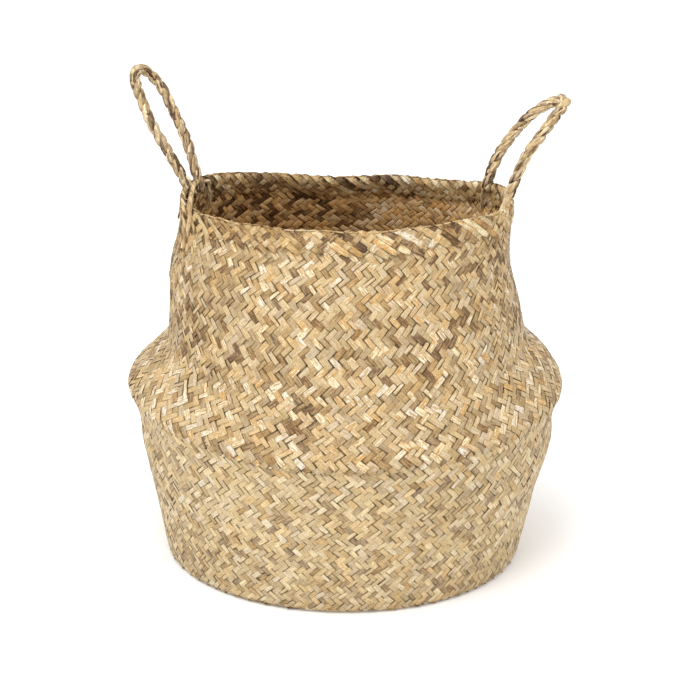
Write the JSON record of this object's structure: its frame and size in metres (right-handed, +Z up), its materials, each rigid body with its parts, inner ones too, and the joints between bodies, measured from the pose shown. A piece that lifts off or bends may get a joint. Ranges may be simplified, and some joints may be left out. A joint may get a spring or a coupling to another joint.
{
  "type": "woven storage basket",
  "caption": "Double-walled woven seagrass belly basket: round flat base, folded belly line, oval collar that pushes down into the bowl, turned border and swinging twisted rope handles.",
  "frame": {"origin": "centre of the flat base's underside, on the surface the basket stands on", "axes": "+Z up, -Y the front, a long side of the oval mouth, +X towards the right handle"},
  "size_m": [0.3568, 0.35, 0.3938],
  "materials": {
    "seagrass_outer": "matte",
    "seagrass_inner": "matte",
    "seagrass_border": "matte",
    "seagrass_rope": "matte"
  },
  "bodies": {
    "bowl": {"base_outer_mat": "seagrass_outer", "base_inner_mat": "seagrass_inner", "bowl_outer_weave": "seagrass_outer", "bowl_inner_weave": "seagrass_inner", "shoulder_outer_weave": "seagrass_outer", "shoulder_inner_weave": "seagrass_inner"},
    "collar": {"collar_outer_weave": "seagrass_outer", "collar_inner_weave": "seagrass_inner", "rim_border": "seagrass_border", "rim_strip_ends": "seagrass_border", "left_handle_front_tail": "seagrass_rope", "left_handle_rear_tail": "seagrass_rope", "right_handle_front_tail": "seagrass_rope", "right_handle_rear_tail": "seagrass_rope"},
    "left_handle": {"left_handle_strand_a": "seagrass_rope", "left_handle_strand_b": "seagrass_rope"},
    "right_handle": {"right_handle_strand_a": "seagrass_rope", "right_handle_strand_b": "seagrass_rope"}
  },
  "joints": [
    {"name": "collar_push_down", "type": "slide", "parent": "bowl", "child": "collar", "axis": [0, 0, 1], "range_m": [-0.09, 0]},
    {"name": "left_handle_swing", "type": "hinge", "parent": "collar", "child": "left_handle", "pos_m": [-0.12256, 0.0213, 0.3002], "axis": [-0.4745, -0.8802, 0], "range_deg": [-95, 60]},
    {"name": "right_handle_swing", "type": "hinge", "parent": "collar", "child": "right_handle", "pos_m": [0.12093, 0.01887, 0.3002], "axis": [-0.4357, 0.9001, 0], "range_deg": [-100, 60]}
  ]
}
